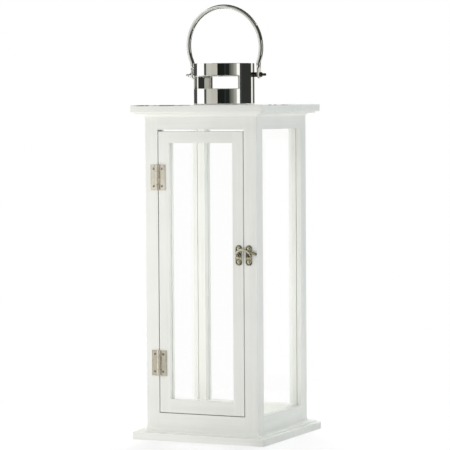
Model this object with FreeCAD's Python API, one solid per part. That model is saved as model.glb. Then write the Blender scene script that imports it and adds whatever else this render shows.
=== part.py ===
import FreeCAD, Part
import math
import os

# Candle lantern, in millimetres. +Z is up, the door faces -Y, and the origin is under the middle of the base.
vec = FreeCAD.Vector
up = vec(0, 0, 1)
across = vec(1, 0, 0)
front = vec(0, -1, 0)
near_zero = 1e-6             # two places closer than this are the same

# Body and boards
body_width = 180.0           # outside of the square of posts
body_height = 470.0          # posts, from the base board to the roof board
board_overhang = 16.4        # base and roof boards past the posts
base_thickness = 11.0
roof_thickness = 11.0
board_round = 1.4            # rounding of the boards' edges
post_width = 20.6
post_round = 1.0             # rounding of each post's outer corner
rail_depth = 16.0            # rails and door, from front to back
top_rail_height = 25.0
bottom_rail_height = 28.0

# Mouldings under the roof and on the base
moulding_reach = 11.0        # lip past the posts
moulding_lip = 2.5
lip_round = 1.2              # rounding of the lip's outer edge
cove_radius = 4.2

# Door
door_side_gap = 1.2
door_top_gap = 2.5
door_bottom_gap = 1.0
stile_width = 17.0
door_top_rail = 17.0
door_bottom_rail = 19.5
door_round = 0.8             # rounding of the door's outline

# Glass, held in grooves
glass_thickness = 2.0
glass_setback = 7.0          # outer face of the wood to the glass
groove_depth = 5.0
glass_side_play = 0.5        # pane's edge to the bottom of its groove
glass_face_play = 0.15       # pane's face to the wall of its groove

# Dowels and wood screws
dowel_radius = 2.5
dowel_reach = 13.0           # into the rail or the roof
dowel_play = 0.05
dowel_end_room = 0.5
dowel_edge = 5.5             # rail's outer edge to the first row of dowels
dowel_rows = 7.5             # between the rows, so that dowels miss each other in a post
web = 1.0                    # wood left between a dowel's end and a screw
roof_dowel_bite = 7.0
post_dowel_bite = 16.0
base_screw_length = 34.0
base_screw_radius = 2.0
base_screw_head = 4.0
screw_play = 0.05
head_sink = 0.5              # base screw's head below the board's face

# Hinges
hinge_height = 37.6
hinge_reach = 12.0           # pin's axis to the edge of a leaf
hinge_from_top = 67.5        # door's top to the upper hinge's middle
hinge_from_bottom = 73.0     # door's bottom to the lower hinge's middle
leaf_thickness = 1.2
knuckle_radius = 2.5
knuckle_count = 4
pin_radius = 1.25
pin_play = 0.05
knuckle_gap = 0.3            # between one leaf's knuckles and the other leaf
hinge_hole_reach = 6.7       # pin's axis to a screw
hinge_hole_spread = 25.6     # between a leaf's screws
hinge_screw_length = 12.0
hinge_screw_radius = 1.2
hinge_screw_head = 2.3

# Latch
latch_level = 274.3          # height of the hook's pivot and of the stud
latch_half_span = 8.0        # middle of the door gap to the pivot, and to the stud
plate_thickness = 1.2
plate_lobe_radius = 5.2
plate_lobe_rise = 9.8        # plate's middle to the centre of a lobe
plate_waist = 9.4
nail_radius = 0.8
nail_length = 9.0
nail_head_radius = 1.9
nail_head_height = 0.8
hook_standoff = 1.4          # plate's face to the hook
hook_thickness = 2.0
hook_width = 3.2
hook_arch_radius = 13.0      # middle of the hook's arched bar
hook_start_angle = 59.0      # from the arch's top to its end at the pivot
hook_nose_angle = 66.0       # from the arch's top to its end past the stud
hook_eye_radius = 3.8
hook_play = 0.06             # eye on its pivot
hook_side_play = 0.2         # hook to its collar and to the rivet's head
hook_stud_gap = 0.3          # arch to the stud
hook_collar_radius = 2.6
pivot_radius = 1.6
rivet_head_radius = 2.7
rivet_head_height = 1.2
stud_radius = 1.8
stud_proud = 0.9             # stud past the hook's face
finger_angle = 38.0          # from the arch's top to the root of the finger grip
finger_length = 12.6
finger_slope_angle = 15.0    # of the grip below level
finger_radius = 2.1

# Chimney
chimney_radius = 45.0
chimney_wall = 1.0
chimney_height = 61.0
chimney_shift = -2.9         # its axis from the lantern's, towards the hinges
chimney_flange = 8.0         # width of the flange turned in on the roof
throat_play = 1.0            # flange's edge past the hole in the roof
window_low = 23.6            # above the roof
window_high = 42.8
window_half_angle = 52.0
cap_skirt = 6.0
cap_play = 0.1
flange_screw_count = 4
flange_screw_radius = 1.3
flange_screw_length = 8.0
flange_screw_head = 2.6
flange_head_height = 1.5

# Bail and its pivots
bail_pivot_height = 44.0     # above the roof
bail_rod_radius = 3.3
bail_bow = 5.0               # arch's radius past the middle of a flattened end
bail_arch_rise = 42.2        # pivots to the arch's centre
bail_bend_radius = 15.0      # reverse bend above each flattened end
bail_tab_thickness = 2.0
bail_tab_width = 12.0
bail_flare = 8.0             # length over which the rod is flattened
bail_play = 0.08             # pivot in its hole
bail_side_play = 0.3         # flattened end to the spacer and to the nut
bail_lean_angle = 4.2        # towards the door at rest
pivot_screw_radius = 2.0
pivot_thread_past_nut = 6.5
pivot_head_radius = 4.0
pivot_head_height = 2.4
nut_across_flats = 7.0
nut_thickness = 3.2
spacer_length = 7.7          # of the two spacers, on average

# Levels and places worked out from the sizes above
half = body_width / 2
inner = half - post_width
board_half = half + board_overhang
base_top = base_thickness
roof_bottom = base_top + body_height
roof_top = roof_bottom + roof_thickness
opening_low = base_top + bottom_rail_height
opening_high = roof_bottom - top_rail_height
post_mid = half - post_width / 2
rail_mid = half - rail_depth / 2
glass_mid = half - glass_setback - glass_thickness / 2
dowel_bite = post_width / 2 - base_screw_radius - web
door_half = inner - door_side_gap
door_low = opening_low + door_bottom_gap
door_high = opening_high - door_top_gap
gap_mid = inner - door_side_gap / 2
hinge_levels = {"upper": door_high - hinge_from_top, "lower": door_low + hinge_from_bottom}
hinge_axis_y = -half - knuckle_radius
plate_face = -half - plate_thickness
hook_back = plate_face - hook_standoff
hook_front = hook_back - hook_thickness
bail_pivot = roof_top + bail_pivot_height
sides = {"front": 0, "right": 90, "back": 180, "left": 270}
glazed = ("right", "back", "left")
os.makedirs("parts", exist_ok=True)


def box(x_low, x_high, y_low, y_high, z_low, z_high):
    return Part.makeBox(x_high - x_low, y_high - y_low, z_high - z_low, vec(x_low, y_low, z_low))


def rod(radius, length, start, direction):
    return Part.makeCylinder(radius, length, start, direction)


def disc(radius, x, z, y_front, y_back):
    return rod(radius, y_back - y_front, vec(x, y_front, z), vec(0, 1, 0))


def lathe(outline):
    points = [vec(radius, 0, height) for radius, height in outline]
    wire = Part.makePolygon(points + points[:1])
    return Part.Face(wire).revolve(vec(0, 0, 0), up, 360)


def wedge(spread, reach, z_low, height):
    # A triangle with its point on the lantern's axis, open to the front.
    tip = vec(0, 0, z_low)
    outline = [tip, vec(-spread, -reach, z_low), vec(spread, -reach, z_low), tip]
    return Part.Face(Part.makePolygon(outline)).extrude(up * height)


def aim(shape, place, direction):
    placed = shape.copy()
    placed.Placement = FreeCAD.Placement(place, FreeCAD.Rotation(up, direction))
    return placed


def turn(shape, degrees):
    turned = shape.copy()
    turned.rotate(vec(0, 0, 0), up, degrees)
    return turned


def round_edges(solid, radius, wanted):
    return solid.makeFillet(radius, [edge for edge in solid.Edges if wanted(edge)])


def same(first, second):
    return abs(first - second) < near_zero


def runs_along(edge, direction):
    run = edge.Vertexes[-1].Point - edge.Vertexes[0].Point
    return same(abs(run.dot(direction)), run.Length)


def fuse(shapes):
    return shapes[0].fuse(shapes[1:]).removeSplitter()


def drill(solid, tools):
    near = [tool for tool in tools if solid.BoundBox.intersect(tool.BoundBox)]
    return solid.cut(near) if near else solid


def save(name, shape):
    solids = shape if isinstance(shape, list) else [shape]
    Part.makeCompound([solid for item in solids for solid in item.Solids]).exportStep(f"parts/{name}.step")


# Fasteners, each with the hole that it needs
def dowel(start, direction, bite, reach):
    peg = rod(dowel_radius, bite + reach, start - direction * bite, direction)
    hole_start = start - direction * (bite + dowel_end_room)
    hole = rod(dowel_radius + dowel_play, bite + reach + 2 * dowel_end_room, hole_start, direction)
    return peg, hole


def countersunk(head, shank, length, play):
    # The head's face is at the origin and the point is up the axis; the hole's mouth is open past the head.
    cone = head - shank
    screw = lathe([(0, 0), (head, 0), (shank, cone), (shank, length - shank), (0, length)])
    wide = shank + play
    mouth = head + play
    hole = lathe([(0, -cone), (mouth, -cone), (mouth, 0), (wide, cone), (wide, length), (0, length)])
    return screw, hole


def headed(head, head_height, shank, length, play):
    # A flat-bottomed head below the origin, and the shank and its hole above it.
    crown = head_height / 2
    screw = lathe([(0, -head_height), (head - crown, -head_height), (head, -crown), (head, 0), (shank, 0),
                   (shank, length - shank), (0, length)])
    wide = shank + play
    hole = lathe([(0, 0), (wide, 0), (wide, length), (0, length)])
    return screw, hole


def rail_dowels(rail_edge, inward):
    # Front and back rails use the row further from the rail's edge, so that pegs miss each other in a post.
    pairs = []
    for side, degrees in sides.items():
        row = dowel_rows if side in ("front", "back") else 0
        level = rail_edge + inward * (dowel_edge + row)
        for end in (-1, 1):
            start = vec(end * inner, -rail_mid, level)
            pair = dowel(start, vec(-end, 0, 0), dowel_bite, dowel_reach)
            pairs.append([turn(shape, degrees) for shape in pair])
    return pairs


frame_pegs = rail_dowels(base_top, 1) + rail_dowels(roof_bottom, -1)
corners = [(x * post_mid, y * post_mid) for x in (-1, 1) for y in (-1, 1)]
roof_pegs = [dowel(vec(x, y, roof_bottom), up, post_dowel_bite, roof_dowel_bite) for x, y in corners]
base_screw = countersunk(base_screw_head, base_screw_radius, base_screw_length, screw_play)
base_screws = [[aim(shape, vec(x, y, head_sink), up) for shape in base_screw] for x, y in corners]


def screws_at(places, screw, direction):
    return [[aim(shape, place, direction) for shape in screw] for place in places]


def hinge_holes(side):
    leaf_face = -half - leaf_thickness
    x = side * hinge_hole_reach - gap_mid
    rises = (-hinge_hole_spread / 2, hinge_hole_spread / 2)
    return [vec(x, leaf_face, level + rise) for level in hinge_levels.values() for rise in rises]


hinge_screw = countersunk(hinge_screw_head, hinge_screw_radius, hinge_screw_length, screw_play)
frame_hinge_screws = screws_at(hinge_holes(-1), hinge_screw, -front)
door_hinge_screws = screws_at(hinge_holes(1), hinge_screw, -front)


def nail_places(x):
    return [vec(x, plate_face, latch_level + rise) for rise in (-plate_lobe_rise, plate_lobe_rise)]


nail = headed(nail_head_radius, nail_head_height, nail_radius, nail_length, screw_play)
hook_x = gap_mid - latch_half_span
stud_x = gap_mid + latch_half_span
hook_nails = screws_at(nail_places(hook_x), nail, -front)
catch_nails = screws_at(nail_places(stud_x), nail, -front)

throat_radius = chimney_radius - chimney_flange + throat_play
flange_mid = chimney_radius - chimney_wall - (chimney_flange - chimney_wall) / 2
flange_screw = headed(flange_screw_head, flange_head_height, flange_screw_radius, flange_screw_length,
                      screw_play)
flange_step = 360 / flange_screw_count
flange_angles = [math.radians((index + 0.5) * flange_step) for index in range(flange_screw_count)]
flange_places = [vec(math.cos(angle), math.sin(angle), 0) * flange_mid for angle in flange_angles]
flange_level = vec(chimney_shift, 0, roof_top + chimney_wall)
flange_screws = screws_at([place + flange_level for place in flange_places], flange_screw, -up)


def solids(pairs):
    return [solid for solid, hole in pairs]


def holes(pairs):
    return [hole for solid, hole in pairs]


save("rail_dowels", solids(frame_pegs))
save("roof_dowels", solids(roof_pegs))
save("base_screws", solids(base_screws))
save("frame_hinge_screws", solids(frame_hinge_screws))
save("door_hinge_screws", solids(door_hinge_screws))
save("hook_plate_nails", solids(hook_nails))
save("catch_plate_nails", solids(catch_nails))
save("chimney_screws", solids(flange_screws))


# Base and roof boards
def board(z_low, thickness):
    slab = box(-board_half, board_half, -board_half, board_half, z_low, z_low + thickness)
    return slab.makeFillet(board_round, slab.Edges)


throat = rod(throat_radius, roof_thickness, vec(chimney_shift, 0, roof_bottom), up)
save("base_board", drill(board(0, base_thickness), holes(base_screws)))
roof_holes = [throat] + holes(roof_pegs) + holes(flange_screws)
save("roof_board", drill(board(roof_bottom, roof_thickness), roof_holes))


# Mouldings: a lip against the board and a cove down to the posts, mitred at the corners
def moulding(seat, away):
    lip = seat + away * moulding_lip
    foot = lip + away * cove_radius
    bend = cove_radius * (1 - math.sqrt(0.5))
    ease = lip_round * (1 - math.sqrt(0.5))

    def point(out, level):
        return vec(-half - moulding_reach, -half - out, level)

    lip_start = point(moulding_reach, lip - away * lip_round)
    lip_end = point(moulding_reach - lip_round, lip)
    lip_arc = Part.Arc(lip_start, point(moulding_reach - ease, lip - away * ease), lip_end)
    cove_arc = Part.Arc(point(cove_radius, lip), point(bend, lip + away * bend), point(0, foot))
    edges = [Part.makeLine(point(0, seat), point(moulding_reach, seat)),
             Part.makeLine(point(moulding_reach, seat), lip_start),
             lip_arc.toShape(),
             Part.makeLine(lip_end, point(cove_radius, lip)),
             cove_arc.toShape(),
             Part.makeLine(point(0, foot), point(0, seat))]
    length = body_width + 2 * moulding_reach
    strip = Part.Face(Part.Wire(edges)).extrude(vec(length, 0, 0))
    corner = half + 2 * moulding_reach
    low = min(seat, foot)
    return strip.common(wedge(corner, corner, low, abs(foot - seat)))


for side, degrees in sides.items():
    save(f"base_moulding_{side}", turn(moulding(base_top, 1), degrees))
    save(f"roof_moulding_{side}", turn(moulding(roof_bottom, -1), degrees))


# Glass panes and the grooves that hold them, made at the front and turned to their sides
def pane(half_width, z_low, z_high):
    edge = half_width + groove_depth - glass_side_play
    floor = z_low - groove_depth
    top = z_high + groove_depth - glass_side_play
    face = glass_thickness / 2
    return box(-edge, edge, -glass_mid - face, -glass_mid + face, floor, top)


def groove(half_width, z_low, z_high):
    edge = half_width + groove_depth
    face = glass_thickness / 2 + glass_face_play
    return box(-edge, edge, -glass_mid - face, -glass_mid + face, z_low - groove_depth, z_high + groove_depth)


grooves = [turn(groove(inner, opening_low, opening_high), sides[side]) for side in glazed]
for side in glazed:
    save(f"glass_{side}", turn(pane(inner, opening_low, opening_high), sides[side]))


# Posts and rails of the body
frame_holes = (holes(frame_pegs) + holes(roof_pegs) + holes(base_screws) + holes(frame_hinge_screws)
               + holes(catch_nails) + grooves)
post_names = {"post_front_right": 0, "post_back_right": 90, "post_back_left": 180, "post_front_left": 270}


def corner_post():
    post = box(inner, half, -half, -inner, base_top, roof_bottom)
    return round_edges(post, post_round, lambda edge: same(edge.CenterOfMass.x, half)
                       and same(edge.CenterOfMass.y, -half))


def body_rail(z_low, z_high):
    return box(-inner, inner, -half, -half + rail_depth, z_low, z_high)


for name, degrees in post_names.items():
    save(name, drill(turn(corner_post(), degrees), frame_holes))
for side, degrees in sides.items():
    save(f"top_rail_{side}", drill(turn(body_rail(opening_high, roof_bottom), degrees), frame_holes))
    save(f"bottom_rail_{side}", drill(turn(body_rail(base_top, opening_low), degrees), frame_holes))

# Door
light_half = door_half - stile_width
light_low = door_low + door_bottom_rail
light_high = door_high - door_top_rail
door_back = -half + rail_depth
door_pegs = []
for level in (door_low + door_bottom_rail / 3, door_high - door_top_rail / 3):
    for end in (-1, 1):
        start = vec(end * light_half, -rail_mid, level)
        door_pegs.append(dowel(start, vec(-end, 0, 0), dowel_reach, dowel_reach))
door_holes = holes(door_pegs) + holes(door_hinge_screws) + holes(hook_nails)
door_holes.append(groove(light_half, light_low, light_high))


def on_outline(edge):
    place = edge.CenterOfMass
    beside = runs_along(edge, up) and same(abs(place.x), door_half)
    level = runs_along(edge, across) and (same(place.z, door_low) or same(place.z, door_high))
    return beside or level


def door_piece(x_low, x_high, z_low, z_high):
    stick = box(x_low, x_high, -half, door_back, z_low, z_high)
    return drill(round_edges(stick, door_round, on_outline), door_holes)


save("door_stile_hinge", door_piece(-door_half, -light_half, door_low, door_high))
save("door_stile_latch", door_piece(light_half, door_half, door_low, door_high))
save("door_rail_top", door_piece(-light_half, light_half, light_high, door_high))
save("door_rail_bottom", door_piece(-light_half, light_half, door_low, light_low))
save("door_glass", pane(light_half, light_low, light_high))
save("door_dowels", solids(door_pegs))


# Hinges: flat leaves on the faces of the post and the stile, with knuckles in turn along one pin
def hinge_leaf(level, side, screws):
    pitch = hinge_height / knuckle_count
    low = level - hinge_height / 2
    clear = knuckle_radius + knuckle_gap
    near = min(side * clear, side * hinge_reach)
    far = max(side * clear, side * hinge_reach)
    plate = box(near - gap_mid, far - gap_mid, -half - leaf_thickness, -half, low, low + hinge_height)
    pieces = [plate]
    first = 0 if side < 0 else 1
    for index in range(first, knuckle_count, 2):
        bottom = low + index * pitch + (knuckle_gap / 2 if index > 0 else 0)
        top = low + (index + 1) * pitch - (knuckle_gap / 2 if index < knuckle_count - 1 else 0)
        web_low = min(0, side * clear) - gap_mid
        web_high = max(0, side * clear) - gap_mid
        pieces.append(box(web_low, web_high, -half - leaf_thickness, -half, bottom, top))
        pieces.append(rod(knuckle_radius, top - bottom, vec(-gap_mid, hinge_axis_y, bottom), up))
    bore = rod(pin_radius + pin_play, hinge_height, vec(-gap_mid, hinge_axis_y, low), up)
    return drill(fuse(pieces), [bore] + holes(screws))


for name, level in hinge_levels.items():
    save(f"hinge_leaf_frame_{name}", hinge_leaf(level, -1, frame_hinge_screws))
    save(f"hinge_leaf_door_{name}", hinge_leaf(level, 1, door_hinge_screws))
    pin_foot = vec(-gap_mid, hinge_axis_y, level - hinge_height / 2)
    save(f"hinge_pin_{name}", rod(pin_radius, hinge_height, pin_foot, up))


# Latch plates, the hook on the door's plate and the stud on the post's
def latch_plate(x, nails):
    lobes = [disc(plate_lobe_radius, x, latch_level + rise, plate_face, -half)
             for rise in (-plate_lobe_rise, 0, plate_lobe_rise)]
    waist = box(x - plate_waist / 2, x + plate_waist / 2, plate_face, -half,
                latch_level - plate_lobe_rise, latch_level + plate_lobe_rise)
    return drill(fuse(lobes + [waist]), holes(nails))


collar_front = hook_back + hook_side_play
pivot_front = hook_front - hook_side_play
stud_front = hook_front - stud_proud
collar = disc(hook_collar_radius, hook_x, latch_level, collar_front, plate_face)
pivot = disc(pivot_radius, hook_x, latch_level, pivot_front, collar_front)
save("hook_plate", fuse([latch_plate(hook_x, hook_nails), collar, pivot]))
stud = disc(stud_radius, stud_x, latch_level, stud_front, plate_face)
stud = round_edges(stud, stud_radius / 2, lambda edge: same(edge.CenterOfMass.y, stud_front))
save("catch_plate", fuse([latch_plate(stud_x, catch_nails), stud]))
rivet = disc(rivet_head_radius, hook_x, latch_level, pivot_front - rivet_head_height, pivot_front)
save("hook_rivet", round_edges(rivet, rivet_head_height / 2,
                               lambda edge: edge.CenterOfMass.y < pivot_front - rivet_head_height / 2))

stud_depth = hook_arch_radius - hook_width / 2 - hook_stud_gap - stud_radius
arch_z = latch_level - math.sqrt(stud_depth ** 2 - latch_half_span ** 2)


def arch_point(degrees, radius):
    angle = math.radians(degrees)
    return vec(gap_mid + radius * math.sin(angle), hook_front, arch_z + radius * math.cos(angle))


def arch_bar():
    outer = hook_arch_radius + hook_width / 2
    inside = hook_arch_radius - hook_width / 2
    over = Part.Arc(arch_point(-hook_start_angle, outer), arch_point(0, outer),
                    arch_point(hook_nose_angle, outer))
    under = Part.Arc(arch_point(hook_nose_angle, inside), arch_point(0, inside),
                     arch_point(-hook_start_angle, inside))
    edges = [over.toShape(),
             Part.makeLine(arch_point(hook_nose_angle, outer), arch_point(hook_nose_angle, inside)),
             under.toShape(),
             Part.makeLine(arch_point(-hook_start_angle, inside), arch_point(-hook_start_angle, outer))]
    return Part.Face(Part.Wire(edges)).extrude(-front * hook_thickness)


def hook_disc(radius, centre):
    return disc(radius, centre.x, centre.z, hook_front, hook_back)


def finger_grip():
    root = arch_point(finger_angle, hook_arch_radius)
    slope = math.radians(finger_slope_angle)
    tip = root + vec(math.cos(slope), 0, -math.sin(slope)) * finger_length
    bar = Part.makeBox(finger_length, hook_thickness, 2 * finger_radius, vec(0, 0, -finger_radius))
    bar.rotate(vec(0, 0, 0), vec(0, 1, 0), finger_slope_angle)
    bar.translate(root)
    return fuse([bar, hook_disc(finger_radius, tip)])


nose = hook_disc(hook_width / 2, arch_point(hook_nose_angle, hook_arch_radius))
start = hook_disc(hook_width / 2, arch_point(-hook_start_angle, hook_arch_radius))
eye = hook_disc(hook_eye_radius, vec(hook_x, 0, latch_level))
eye_bore = hook_disc(pivot_radius + hook_play, vec(hook_x, 0, latch_level))
save("latch_hook", fuse([arch_bar(), nose, start, eye, finger_grip()]).cut(eye_bore))


# Chimney: a rolled tube with two windows and a flange on the roof, closed by a cap with a skirt
def chimney_window():
    reach = chimney_radius + chimney_wall
    spread = reach * math.tan(math.radians(window_half_angle))
    return wedge(spread, reach, roof_top + window_low, window_high - window_low)


chimney_inside = chimney_radius - chimney_wall
flange_edge = chimney_radius - chimney_flange
tube = lathe([(flange_edge, 0), (chimney_radius, 0), (chimney_radius, chimney_height),
              (chimney_inside, chimney_height), (chimney_inside, chimney_wall), (flange_edge, chimney_wall)])
tube.translate(vec(chimney_shift, 0, roof_top))
pivot_hole_start = vec(chimney_shift - chimney_radius, 0, bail_pivot)
pivot_hole = rod(pivot_screw_radius + screw_play, 2 * chimney_radius, pivot_hole_start, across)
windows = [chimney_window(), turn(chimney_window(), 180)]
for window in windows:
    window.translate(vec(chimney_shift, 0, 0))
save("chimney_tube", drill(tube, windows + [pivot_hole] + holes(flange_screws)))
cap_radius = chimney_inside - cap_play
cap = lathe([(0, 0), (cap_radius, 0), (cap_radius, -cap_skirt), (cap_radius - chimney_wall, -cap_skirt),
             (cap_radius - chimney_wall, -chimney_wall), (0, -chimney_wall)])
cap.translate(vec(chimney_shift, 0, roof_top + chimney_height))
save("chimney_cap", cap)

# Bail pivots: a screw out through the chimney's wall, a spacer inside the bail's flat end and a nut outside
spacer_end = chimney_radius + spacer_length
tab_inside = spacer_end + bail_side_play
tab_middle = tab_inside + bail_tab_thickness / 2
tab_outside = tab_inside + bail_tab_thickness
nut_start = tab_outside + bail_side_play
pivot_screw_end = nut_start + nut_thickness + pivot_thread_past_nut
head_seat = math.sqrt(chimney_inside ** 2 - pivot_head_radius ** 2)


def hex_nut(start, length):
    sixth = math.pi / 3
    corner = nut_across_flats / 2 / math.cos(sixth / 2)
    ring = [vec(math.cos(sixth * index), math.sin(sixth * index), 0) * corner for index in range(7)]
    blank = aim(Part.Face(Part.makePolygon(ring)).extrude(up * length), vec(start, 0, bail_pivot), across)
    return blank.cut(rod(pivot_screw_radius + screw_play, length, vec(start, 0, bail_pivot), across))


def pivot_screw(seat):
    screw = headed(pivot_head_radius, pivot_head_height, pivot_screw_radius, pivot_screw_end - seat, 0)[0]
    return aim(screw, vec(seat, 0, bail_pivot), across)


def spacer(start):
    return hex_nut(start, spacer_end - start)


outer_nut = hex_nut(nut_start, nut_thickness)
left_screw = turn(pivot_screw(head_seat - chimney_shift), 180)
left_spacer = turn(spacer(chimney_radius - chimney_shift), 180)
save("bail_pivot_screws", [pivot_screw(head_seat + chimney_shift), left_screw])
save("bail_spacers", [spacer(chimney_radius + chimney_shift), left_spacer])
save("bail_nuts", [outer_nut, turn(outer_nut, 180)])

# Bail: an arch of round rod, a reverse bend above each end, and the ends flattened and drilled
arch_centre = bail_pivot + bail_arch_rise
bail_arch_radius = tab_middle + bail_bow
bend_cos = (tab_middle + bail_bend_radius) / (bail_arch_radius + bail_bend_radius)
bend_angle = math.acos(bend_cos)
bend_centre = vec(tab_middle + bail_bend_radius, 0,
                  arch_centre - (bail_arch_radius + bail_bend_radius) * math.sin(bend_angle))


def around(centre, radius, angle):
    return centre + vec(math.cos(angle), 0, math.sin(angle)) * radius


def mirrored(point):
    return vec(-point.x, point.y, point.z)


middle = vec(0, 0, arch_centre)
arch_top = around(middle, bail_arch_radius, math.pi / 2)
arch_end = around(middle, bail_arch_radius, -bend_angle)
bend_mid = around(bend_centre, bail_bend_radius, math.pi - bend_angle / 2)
rod_end = around(bend_centre, bail_bend_radius, math.pi)
path = Part.Wire([Part.Arc(mirrored(rod_end), mirrored(bend_mid), mirrored(arch_end)).toShape(),
                  Part.Arc(mirrored(arch_end), arch_top, arch_end).toShape(),
                  Part.Arc(arch_end, bend_mid, rod_end).toShape()])


def closed_section(corners, bulges):
    # Four edges between the corners; each edge is an arc through its bulge, or straight where it has none.
    edges = []
    for index, bulge in enumerate(bulges):
        first = corners[index]
        last = corners[(index + 1) % len(corners)]
        edges.append(Part.Arc(first, bulge, last).toShape() if bulge else Part.makeLine(first, last))
    return Part.Wire(edges)


def round_section():
    points = [rod_end + vec(math.cos(angle), math.sin(angle), 0) * bail_rod_radius
              for angle in (math.radians(225 - 45 * step) for step in range(8))]
    return closed_section(points[0::2], points[1::2])


def flat_section(level):
    straight = (bail_tab_width - bail_tab_thickness) / 2
    corners = [vec(tab_inside, -straight, level), vec(tab_inside, straight, level),
               vec(tab_outside, straight, level), vec(tab_outside, -straight, level)]
    far = vec(tab_middle, bail_tab_width / 2, level)
    near = vec(tab_middle, -bail_tab_width / 2, level)
    return closed_section(corners, [None, far, None, near])


flat_level = rod_end.z - bail_flare
flare = Part.makeLoft([round_section(), flat_section(flat_level)], True, True)
tab = Part.Face(flat_section(flat_level)).extrude(-up * (flat_level - bail_pivot))
tab_round = rod(bail_tab_width / 2, bail_tab_thickness, vec(tab_inside, 0, bail_pivot), across)
tab_hole = rod(pivot_screw_radius + bail_play, bail_tab_thickness, vec(tab_inside, 0, bail_pivot), across)
right_end = fuse([flare, tab, tab_round]).cut(tab_hole)
section = Part.Wire([Part.makeCircle(bail_rod_radius, rod_end, up)])
arch = path.makePipeShell([section], True, False)
bail = fuse([arch, right_end, turn(right_end, 180)])
bail.rotate(vec(0, 0, bail_pivot), across, bail_lean_angle)
save("bail", bail)
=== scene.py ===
import math

import bmesh
import bpy
from mathutils import Matrix, Vector


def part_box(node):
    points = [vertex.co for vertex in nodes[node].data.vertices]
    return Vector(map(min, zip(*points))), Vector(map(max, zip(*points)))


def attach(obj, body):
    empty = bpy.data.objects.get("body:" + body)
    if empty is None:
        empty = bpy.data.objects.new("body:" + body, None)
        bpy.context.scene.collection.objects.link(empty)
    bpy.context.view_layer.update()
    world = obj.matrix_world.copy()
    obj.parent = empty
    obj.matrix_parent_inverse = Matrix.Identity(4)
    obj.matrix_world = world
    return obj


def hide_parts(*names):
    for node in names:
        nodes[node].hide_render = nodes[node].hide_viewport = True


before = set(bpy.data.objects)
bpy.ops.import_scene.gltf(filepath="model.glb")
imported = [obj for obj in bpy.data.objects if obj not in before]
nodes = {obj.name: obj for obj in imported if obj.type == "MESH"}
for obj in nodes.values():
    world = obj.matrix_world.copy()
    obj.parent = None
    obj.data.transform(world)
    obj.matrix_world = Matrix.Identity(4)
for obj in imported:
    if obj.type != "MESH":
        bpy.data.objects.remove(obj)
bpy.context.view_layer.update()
scene = bpy.context.scene
print("frame loaded:", len(nodes), "nodes")

# camera: degrees, metres, and the lens in millimetres, as the photograph was taken
cameraSetup = {"azimuth": 25.039, "distance": 3.5221, "height": 0.4953, "yaw": 0.0447, "pitch": 2.966,
               "roll": -0.3733, "lens": 189.3155, "sensor": 36.0, "clip": (0.1, 60.0)}


def towards(azimuth):  # level unit vector, 0 in front of the door and 90 on the lantern's right
    angle = math.radians(azimuth)
    return Vector((math.sin(angle), -math.cos(angle), 0))


def upBy(height):
    return Vector((0, 0, height))


def placeObject(name, data):
    made = bpy.data.objects.new(name, data)
    scene.collection.objects.link(made)
    return made


def meshObject(mesh, name):
    data = bpy.data.meshes.new(name)
    mesh.to_mesh(data)
    mesh.free()
    return placeObject(name, data)


def hideFrom(item, *rays):
    for ray in rays:
        setattr(item, f"visible_{ray}", False)


def makeCamera(setup):
    data = bpy.data.cameras.new("photoCamera")
    data.lens = setup["lens"]
    data.sensor_width = setup["sensor"]
    data.clip_start, data.clip_end = setup["clip"]
    camera = placeObject("photoCamera", data)
    place = towards(setup["azimuth"]) * setup["distance"] + upBy(setup["height"])
    look = (Matrix.Rotation(math.radians(setup["azimuth"] + setup["yaw"]), 4, "Z")
            @ Matrix.Rotation(math.radians(90 - setup["pitch"]), 4, "X")
            @ Matrix.Rotation(math.radians(setup["roll"]), 4, "Z"))
    camera.matrix_world = Matrix.Translation(place) @ look
    scene.camera = camera


makeCamera(cameraSetup)
scene.view_settings.view_transform = "Standard"
print("camera set")


# node tree helpers
def newMaterial(name):
    material = bpy.data.materials.new(name)
    material.use_nodes = True
    return material, material.node_tree, material.node_tree.nodes["Principled BSDF"]


def setInputs(tree, node, values):  # each value is plain, or another node's output
    for key, value in values.items():
        if isinstance(value, bpy.types.NodeSocket):
            tree.links.new(value, node.inputs[key])
        else:
            node.inputs[key].default_value = value


def addNode(tree, kind, values, **settings):
    node = tree.nodes.new(kind)
    for key, value in settings.items():
        setattr(node, key, value)
    setInputs(tree, node, values)
    return node


def objectCoords(tree, scale=(1, 1, 1)):
    place = addNode(tree, "ShaderNodeTexCoord", {}).outputs["Object"]
    return addNode(tree, "ShaderNodeMapping", {"Vector": place, "Scale": scale}).outputs["Vector"]


def noiseAt(tree, vector, scale, detail, roughness=0.5, distortion=0.0):
    values = {"Vector": vector, "Scale": scale, "Detail": detail, "Roughness": roughness,
              "Distortion": distortion}
    return addNode(tree, "ShaderNodeTexNoise", values).outputs["Fac"]


def remap(tree, value, low, high, newLow, newHigh):
    values = {"Value": value, "From Min": low, "From Max": high, "To Min": newLow, "To Max": newHigh}
    return addNode(tree, "ShaderNodeMapRange", values).outputs["Result"]


def calc(tree, operation, first, second):
    return addNode(tree, "ShaderNodeMath", {0: first, 1: second}, operation=operation).outputs["Value"]


def multiply(tree, first, *others):
    for other in others:
        first = calc(tree, "MULTIPLY", first, other)
    return first


def blendColours(tree, factor, first, second, blend="MIX"):
    values = {0: factor, 6: first, 7: second}  # its factor and its colour sockets
    return addNode(tree, "ShaderNodeMix", values, data_type="RGBA", blend_type=blend).outputs[2]


def blendShaders(tree, factor, first, second):
    return addNode(tree, "ShaderNodeMixShader", {0: factor, 1: first, 2: second}).outputs["Shader"]


def showSurface(tree, shader):
    setInputs(tree, tree.nodes["Material Output"], {"Surface": shader})


def bumpFrom(tree, shader, height, strength, distance):
    bump = addNode(tree, "ShaderNodeBump", {"Height": height, "Strength": strength, "Distance": distance})
    setInputs(tree, shader, {"Normal": bump.outputs["Normal"]})


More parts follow.
